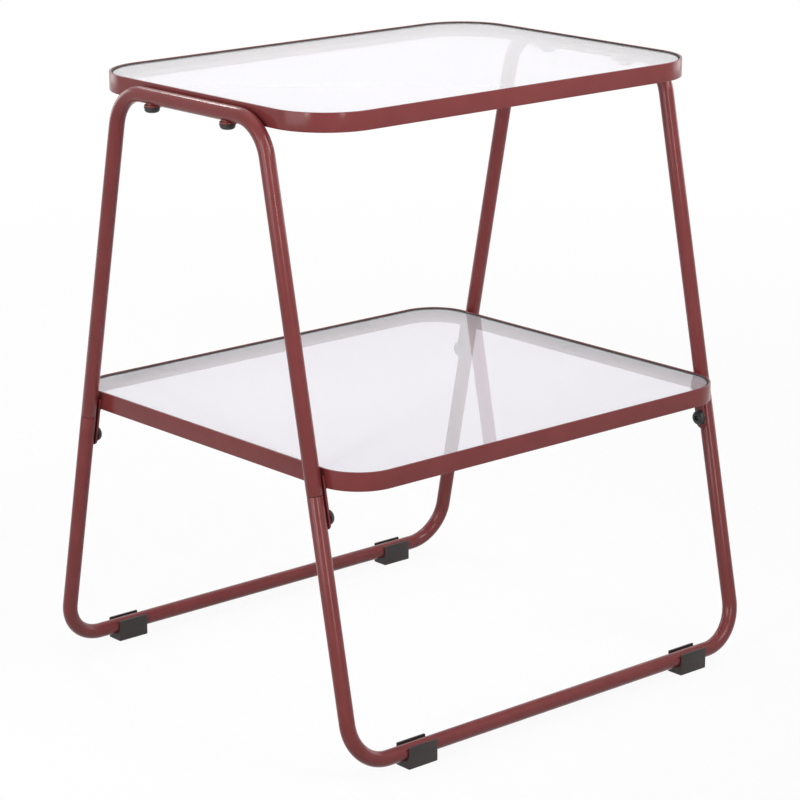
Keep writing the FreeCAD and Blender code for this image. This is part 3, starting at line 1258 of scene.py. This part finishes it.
@dataclass(frozen=True)
class Softbox:
    """A rectangular studio light aimed at the table, with its spread in degrees."""

    name: str
    place: tuple[float, float, float]
    size: tuple[float, float]
    power: float
    aim: tuple[float, float, float] = (0.0, 0.0, 0.5)
    spread: float = 180.0

    def build(self) -> None:
        """Hang the light."""
        lamp = bpy.data.lights.new(self.name, "AREA")
        lamp.shape = "RECTANGLE"
        lamp.size, lamp.size_y = self.size
        lamp.energy = self.power
        lamp.spread = math.radians(self.spread)
        holder = bpy.data.objects.new(self.name, lamp)
        holder.location = self.place
        way = Vector(self.aim) - Vector(self.place)
        holder.rotation_euler = way.to_track_quat("-Z", "Y").to_euler()
        holder.visible_camera = False
        bpy.context.scene.collection.objects.link(holder)
        log.info("%s: %.1f W", self.name, self.power)


@dataclass
class Studio:
    """Camera, pale floor, soft light and white surround."""

    camera_place: tuple[float, float, float] = (-1.6107, -1.8397, 0.9248)
    heading: float = math.radians(41.206)
    dip: float = math.radians(15.811)
    roll: float = math.radians(-0.11)
    focal_pixels: float = 2945.4
    image_pixels: float = 800.0
    sensor: float = 36.0
    far_clip: float = 50.0
    floor_half: float = 6.0
    floor_grain: float = 3.0
    floor_detail: float = 2.0
    floor_dark: float = 0.88
    floor_light: float = 0.90
    floor_roughness: float = 0.9
    floor_glow: float = 0.9
    shadow_reach: float = 0.4
    white_reach: float = 2.2
    floor_bounce: float = 0.28
    surround: float = 0.34
    lights: tuple[Softbox, ...] = field(default_factory=lambda: (
        Softbox("left_softbox", (-1.5, 0.0, 0.6), (1.0, 0.8), 7.4),
        Softbox("front_softbox", (0.35, -1.25, 1.45), (1.0, 1.0), 4.4, (0.0, 0.0, 0.75), 70.0),
        Softbox("top_softbox", (0.0, 0.3, 1.9), (1.4, 1.4), 1.8),
        Softbox("back_softbox", (0.20, 1.40, 1.70), (0.35, 0.30), 6.0),
        Softbox("right_fill", (1.7, -0.2, 0.65), (0.8, 0.8), 4.5),
        Softbox("back_fill", (-0.4, 1.7, 0.65), (0.8, 0.8), 4.5),
        Softbox("right_strip", (-0.67, -2.30, 0.95), (0.10, 1.0), 11.0, (0.0, 0.0, 0.6)),
        Softbox("left_strip", (-1.70, -0.58, 0.90), (0.08, 0.92), 7.0, (0.0, 0.0, 0.6)),
    ))

    def camera(self) -> None:
        """Set the camera where the photograph was taken."""
        lens = bpy.data.cameras.new("camera")
        lens.sensor_width = self.sensor
        lens.lens = self.sensor * self.focal_pixels / self.image_pixels
        lens.clip_end = self.far_clip
        holder = bpy.data.objects.new("camera", lens)
        holder.location = self.camera_place
        turn = Matrix.Rotation(-self.heading, 4, "Z") @ Matrix.Rotation(math.pi / 2 - self.dip, 4, "X")
        holder.rotation_euler = (turn @ Matrix.Rotation(self.roll, 4, "Z")).to_euler()
        bpy.context.scene.collection.objects.link(holder)
        bpy.context.scene.camera = holder

    @staticmethod
    def seen_directly(tree: bpy.types.NodeTree) -> bpy.types.NodeSocket:
        """Factor that is one for rays which show a surface.

        Args:
            tree: Node tree to add to.

        Returns:
            The factor's socket.
        """
        path = tree.nodes.new("ShaderNodeLightPath")
        total = path.outputs["Is Camera Ray"]
        for name in ("Is Glossy Ray", "Is Transmission Ray"):
            larger = tree.nodes.new("ShaderNodeMath")
            larger.operation = "MAXIMUM"
            tree.links.new(total, larger.inputs[0])
            tree.links.new(path.outputs[name], larger.inputs[1])
            total = larger.outputs[0]
        return total

    def glow_share(self, kit: NodeKit) -> bpy.types.NodeSocket:
        """Share of glow in the floor's look, which is all of it far from the table.

        Args:
            kit: Material to add to.

        Returns:
            The share's socket.
        """
        distance = kit.add("ShaderNodeVectorMath")
        distance.operation = "LENGTH"
        kit.link(kit.place, distance.inputs[0])
        share = kit.add(
            "ShaderNodeMapRange",
            From_Min=self.shadow_reach,
            From_Max=self.white_reach,
            To_Min=self.floor_glow,
            To_Max=1.0,
        )
        share.interpolation_type = "SMOOTHSTEP"
        kit.link(distance.outputs["Value"], share.inputs["Value"])
        return share.outputs["Result"]

    def floor(self) -> None:
        """Lay the pale floor, which keeps the table's shadow and is clear from below."""
        half = self.floor_half
        points = [Vector((x * half, y * half, 0)) for x, y in ((-1, -1), (1, -1), (1, 1), (-1, 1))]
        ground = bpy.data.objects.new("floor", mesh_of("floor", points, [(0, 1, 2, 3)], math.pi))
        bpy.context.scene.collection.objects.link(ground)
        kit = NodeKit("pale_floor")
        grain = kit.noise(self.floor_grain, self.floor_detail)
        kit.tinted(grain, (self.floor_dark,) * 3, (self.floor_light,) * 3)
        kit.shader.inputs["Roughness"].default_value = self.floor_roughness
        glow = kit.add("ShaderNodeEmission", Strength=1.0)
        bounce = kit.add("ShaderNodeBsdfDiffuse", Color=(*(self.floor_bounce,) * 3, 1.0))
        pale = kit.add("ShaderNodeMixShader")
        kit.link(self.glow_share(kit), pale.inputs["Fac"])
        kit.link(kit.shader.outputs["BSDF"], pale.inputs[1])
        kit.link(glow.outputs["Emission"], pale.inputs[2])
        mix = kit.add("ShaderNodeMixShader")
        kit.link(self.seen_directly(kit.tree), mix.inputs["Fac"])
        kit.link(bounce.outputs["BSDF"], mix.inputs[1])
        kit.link(pale.outputs["Shader"], mix.inputs[2])
        one_sided = kit.add("ShaderNodeMixShader")
        kit.link(kit.add("ShaderNodeNewGeometry").outputs["Backfacing"], one_sided.inputs["Fac"])
        kit.link(mix.outputs["Shader"], one_sided.inputs[1])
        kit.link(kit.add("ShaderNodeBsdfTransparent").outputs["BSDF"], one_sided.inputs[2])
        kit.link(one_sided.outputs["Shader"], kit.tree.nodes["Material Output"].inputs["Surface"])
        ground.data.materials.append(kit.material)

    def world(self) -> None:
        """Surround the table with soft white light."""
        world = bpy.data.worlds.new("studio")
        world.use_nodes = True
        tree = world.node_tree
        soft = tree.nodes["Background"]
        soft.inputs["Color"].default_value = (1.0, 1.0, 1.0, 1.0)
        soft.inputs["Strength"].default_value = self.surround
        white = tree.nodes.new("ShaderNodeBackground")
        white.inputs["Color"].default_value = (1.0, 1.0, 1.0, 1.0)
        mix = tree.nodes.new("ShaderNodeMixShader")
        tree.links.new(self.seen_directly(tree), mix.inputs["Fac"])
        tree.links.new(soft.outputs["Background"], mix.inputs[1])
        tree.links.new(white.outputs["Background"], mix.inputs[2])
        tree.links.new(mix.outputs["Shader"], tree.nodes["World Output"].inputs["Surface"])
        bpy.context.scene.world = world

    def build(self) -> None:
        """Set up the whole studio."""
        bpy.context.scene.view_settings.view_transform = "Standard"
        self.camera()
        self.floor()
        self.world()
        for light in self.lights:
            light.build()


def main() -> None:
    """Build and dress the table, then light it."""
    logging.basicConfig(level=logging.INFO, format="%(name)s %(message)s")
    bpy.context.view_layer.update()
    layout = LegLayout.measured()
    TubeFrame(layout).build()
    Tray("top", corner=0.052, pane_body=Body.TOP_PANE).build()
    Tray("shelf", corner=0.038, pane_body=Body.SHELF_PANE).build()
    Lugs(layout).build()
    Fasteners().build()
    Feet(layout).build()
    Studio().build()


if __name__ == "__main__":
    main()
